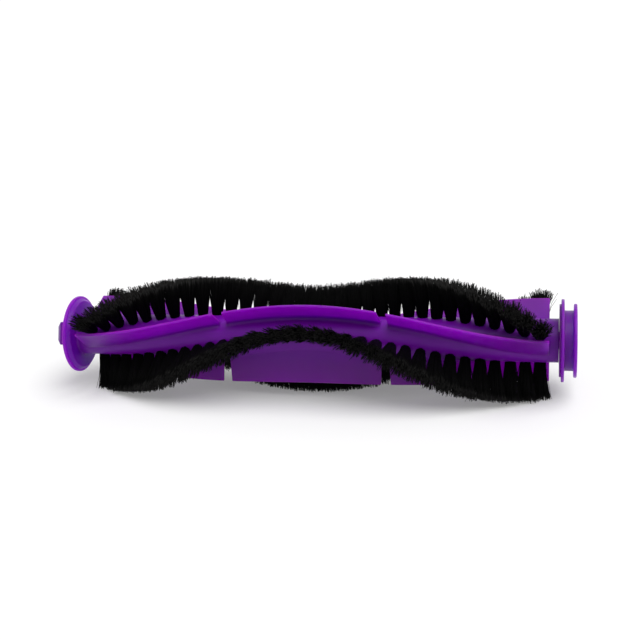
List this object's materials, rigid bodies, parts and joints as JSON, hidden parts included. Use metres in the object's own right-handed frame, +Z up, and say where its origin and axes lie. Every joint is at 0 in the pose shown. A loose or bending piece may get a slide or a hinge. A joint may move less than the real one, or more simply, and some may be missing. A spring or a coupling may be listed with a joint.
{
  "type": "robot vacuum roller brush",
  "caption": "Roller brush of a robot vacuum: moulded core with wavy fins and chevron rows of bristle tufts, a square drive nub at one end and a free-turning grooved bearing cap at the other.",
  "frame": {"origin": "on the spin axis, half way between the end of the drive nub and the outer face of the bearing cap", "axes": "+X along the spin axis from the square drive nub to the bearing cap, +Z up, with the brush lying on its bristle tips"},
  "size_m": [0.177, 0.0402, 0.0397],
  "materials": {
    "moulded_purple": "moulded, satin gloss",
    "bristle_black": "extruded nylon filament",
    "staple_wire": "drawn flat wire",
    "axle_steel": "ground",
    "bearing_steel": "polished",
    "cage_steel": "pressed",
    "shield_steel": "pressed"
  },
  "bodies": {
    "roller": {"roller_core": "moulded_purple", "bristle_row_1": "bristle_black", "bristle_row_2": "bristle_black", "bristle_row_3": "bristle_black", "tuft_staples_1": "staple_wire", "tuft_staples_2": "staple_wire", "tuft_staples_3": "staple_wire", "axle_pin": "axle_steel", "bearing_inner_ring": "bearing_steel"},
    "cap": {"bearing_cap": "moulded_purple", "cap_retainer": "moulded_purple", "bearing_outer_ring": "bearing_steel", "bearing_shield_inner": "shield_steel", "bearing_shield_outer": "shield_steel"},
    "ball_cage": {"bearing_balls": "bearing_steel", "bearing_cage": "cage_steel"}
  },
  "joints": [
    {"name": "cap_spin", "type": "hinge", "parent": "roller", "child": "cap", "pos_m": [0.08564, 0, 0], "axis": [1, 0, 0], "continuous": true},
    {"name": "cage_spin", "type": "hinge", "parent": "roller", "child": "ball_cage", "pos_m": [0.08564, 0, 0], "axis": [1, 0, 0], "continuous": true}
  ],
  "couplings": [
    {"joint": "cage_spin", "follows": "cap_spin", "ratio": 0.6134}
  ]
}
